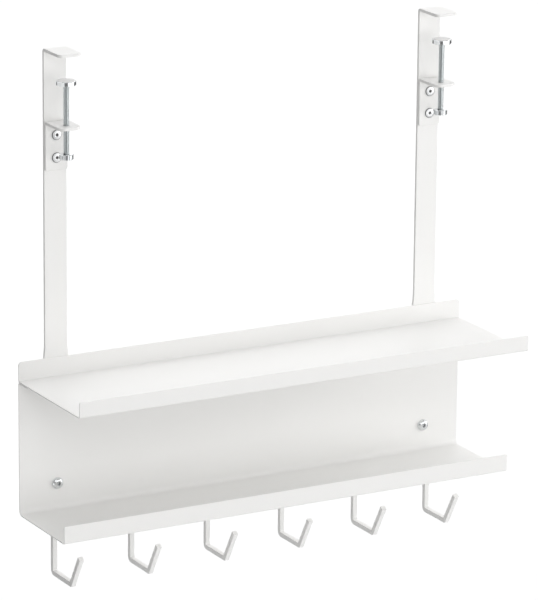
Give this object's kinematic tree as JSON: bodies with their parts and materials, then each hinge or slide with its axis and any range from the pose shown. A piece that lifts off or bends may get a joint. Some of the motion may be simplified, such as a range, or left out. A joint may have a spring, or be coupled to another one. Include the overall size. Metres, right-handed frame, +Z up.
{
  "type": "clamp-on shelf rack with hooks",
  "caption": "White sheet-steel rack that clamps under a board: two arms with screw clamps, an upper and a lower shelf with raised lips, and a row of hooks below.",
  "frame": {"origin": "where the rack hangs: midway between the arms, in the plane of the arms' front faces and of the undersides of their lips", "axes": "+X to the right seen from the front, +Y towards the wall, +Z up"},
  "size_m": [0.4, 0.115, 0.4254],
  "materials": {
    "white_coat": "semi-gloss white powder coat with fine orange peel",
    "zinc_steel": "bright zinc-plated steel",
    "bolt_steel": "plated steel, slightly dull",
    "rivet_aluminium": "bright aluminium",
    "mandrel_steel": "dark broken steel end",
    "pad_plastic": "matt white plastic"
  },
  "bodies": {
    "root": {"back_panel": "white_coat", "upper_shelf": "white_coat", "hook_1": "white_coat", "hook_2": "white_coat", "hook_3": "white_coat", "hook_4": "white_coat", "hook_5": "white_coat", "hook_6": "white_coat", "left_arm": "white_coat", "left_clamp_bracket": "white_coat", "left_clamp_rivets": "rivet_aluminium", "left_rivet_mandrels": "mandrel_steel", "left_panel_bolts": "bolt_steel", "left_weld_nuts": "bolt_steel", "right_arm": "white_coat", "right_clamp_bracket": "white_coat", "right_clamp_rivets": "rivet_aluminium", "right_rivet_mandrels": "mandrel_steel", "right_panel_bolts": "bolt_steel", "right_weld_nuts": "bolt_steel"},
    "left_pad": {"left_swivel_cup": "zinc_steel", "left_pad_face": "pad_plastic"},
    "left_screw": {"left_clamp_screw": "zinc_steel", "left_clamp_knob": "zinc_steel"},
    "right_pad": {"right_swivel_cup": "zinc_steel", "right_pad_face": "pad_plastic"},
    "right_screw": {"right_clamp_screw": "zinc_steel", "right_clamp_knob": "zinc_steel"}
  },
  "joints": [
    {"name": "left_pad_travel", "type": "slide", "parent": "root", "child": "left_pad", "axis": [0, 0, 1], "range_m": [-0.03, 0.018]},
    {"name": "left_screw_turn", "type": "hinge", "parent": "left_pad", "child": "left_screw", "pos_m": [-0.167, -0.0193, -0.022], "axis": [0, 0, 1], "range_deg": [-13504, 8104]},
    {"name": "right_pad_travel", "type": "slide", "parent": "root", "child": "right_pad", "axis": [0, 0, 1], "range_m": [-0.03, 0.018]},
    {"name": "right_screw_turn", "type": "hinge", "parent": "right_pad", "child": "right_screw", "pos_m": [0.167, -0.0193, -0.022], "axis": [0, 0, 1], "range_deg": [-13504, 8104]}
  ],
  "couplings": [
    {"joint": "left_screw_turn", "follows": "left_pad_travel", "rad_per_m": 7854},
    {"joint": "right_screw_turn", "follows": "right_pad_travel", "rad_per_m": 7854}
  ]
}
